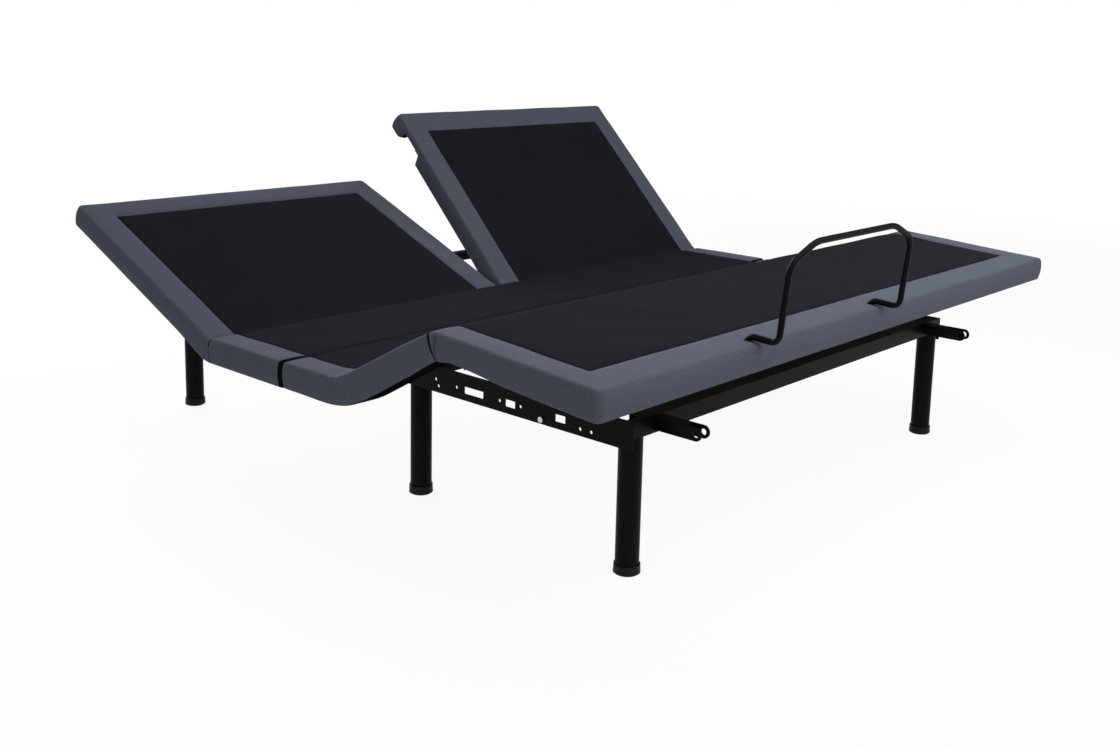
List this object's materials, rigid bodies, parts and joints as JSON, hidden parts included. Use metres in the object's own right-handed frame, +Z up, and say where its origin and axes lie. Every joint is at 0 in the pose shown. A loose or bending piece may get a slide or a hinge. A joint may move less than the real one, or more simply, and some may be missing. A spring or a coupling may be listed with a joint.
{
  "type": "adjustable bed base",
  "caption": "Split-head adjustable bed base: upholstered hinged deck with raising backs, thigh and foot sections, mattress retainer bar, and black steel frame on legs.",
  "frame": {"origin": "on the floor, under the middle of the box that the raised bed fills", "axes": "+X to the bed's right side as seen from the foot end looking to the head, +Y to the head end, +Z up"},
  "size_m": [2, 1.9804, 0.8571],
  "materials": {
    "black_steel": "satin black powder coat",
    "zinc_steel": "bright zinc plate",
    "plywood": "raw poplar plywood",
    "upholstery": "woven blue-grey border with a black anti-slip top",
    "black_plastic": "fine matt texture"
  },
  "bodies": {
    "base": {"foot_rail_left": "black_steel", "foot_rail_right": "black_steel", "head_rail_left": "black_steel", "head_rail_right": "black_steel", "splice_plates": "black_steel", "frame_bolts": "zinc_steel", "foot_beam": "black_steel", "hip_beam": "black_steel", "back_hinge_beam": "black_steel", "head_beam": "black_steel", "legs": "black_steel", "leg_feet": "black_plastic", "leg_plates": "black_steel", "leg_bolts": "zinc_steel", "footboard_arms": "black_steel", "hip_hinge_lugs": "black_steel", "back_hinge_lugs": "black_steel", "link_brackets": "black_steel", "actuator_brackets": "black_steel", "rear_seat_board": "plywood", "front_seat_board": "plywood", "seat_battens": "plywood", "rear_seat_cover": "upholstery", "front_seat_cover": "upholstery", "control_box": "black_plastic", "power_supply": "black_plastic", "left_actuator": "black_plastic", "right_actuator": "black_plastic", "foot_actuator": "black_plastic"},
    "left_back": {"left_back_board": "plywood", "left_back_battens": "plywood", "left_back_cover": "upholstery", "left_back_side_tubes": "black_steel", "left_back_cross_tubes": "black_steel", "left_back_lever": "black_steel"},
    "right_back": {"right_back_board": "plywood", "right_back_battens": "plywood", "right_back_cover": "upholstery", "right_back_side_tubes": "black_steel", "right_back_cross_tubes": "black_steel", "right_back_lever": "black_steel"},
    "thigh": {"thigh_board": "plywood", "thigh_battens": "plywood", "thigh_cover": "upholstery", "thigh_side_tubes": "black_steel", "thigh_cross_tubes": "black_steel", "thigh_lever": "black_steel"},
    "foot_section": {"foot_board": "plywood", "foot_battens": "plywood", "foot_cover": "upholstery", "foot_side_tubes": "black_steel", "foot_cross_tubes": "black_steel", "foot_lugs": "black_steel", "retainer_bar": "black_steel", "retainer_bolts": "zinc_steel"},
    "links": {"foot_links": "black_steel"},
    "left_push_rod": {"left_rod": "zinc_steel"},
    "right_push_rod": {"right_rod": "zinc_steel"},
    "foot_push_rod": {"foot_rod": "zinc_steel"}
  },
  "joints": [
    {"name": "left_back_hinge", "type": "hinge", "parent": "base", "child": "left_back", "pos_m": [0, 0.33874, 0.357], "axis": [1, 0, 0], "range_deg": [-22.2, 39.8]},
    {"name": "right_back_hinge", "type": "hinge", "parent": "base", "child": "right_back", "pos_m": [0, 0.33874, 0.357], "axis": [1, 0, 0], "range_deg": [-45.8, 16.2]},
    {"name": "thigh_hinge", "type": "hinge", "parent": "base", "child": "thigh", "pos_m": [0, -0.15326, 0.357], "axis": [-1, 0, 0], "range_deg": [-26.2, 9.8]},
    {"name": "knee_hinge", "type": "hinge", "parent": "thigh", "child": "foot_section", "pos_m": [0, -0.48165, 0.51859], "axis": [1, 0, 0], "range_deg": [-30.33, 11.47]},
    {"name": "foot_link_swing", "type": "hinge", "parent": "base", "child": "links", "pos_m": [0, -0.36476, 0.287], "axis": [-1, 0, 0], "range_deg": [-28.13, 10.65]},
    {"name": "left_rod_slide", "type": "slide", "parent": "base", "child": "left_push_rod", "axis": [0, 1, 0], "range_m": [-0.04703, 0.08352]},
    {"name": "right_rod_slide", "type": "slide", "parent": "base", "child": "right_push_rod", "axis": [0, 1, 0], "range_m": [-0.09596, 0.03459]},
    {"name": "foot_rod_slide", "type": "slide", "parent": "base", "child": "foot_push_rod", "axis": [0, -1, 0], "range_m": [-0.05256, 0.02029]}
  ],
  "couplings": [
    {"joint": "knee_hinge", "follows": "thigh_hinge", "ratio": 1.15},
    {"joint": "foot_link_swing", "follows": "thigh_hinge", "ratio": 1.066},
    {"joint": "foot_rod_slide", "follows": "thigh_hinge", "m_per_rad": 0.11275},
    {"joint": "left_rod_slide", "follows": "left_back_hinge", "m_per_rad": 0.1188},
    {"joint": "right_rod_slide", "follows": "right_back_hinge", "m_per_rad": 0.1188}
  ]
}
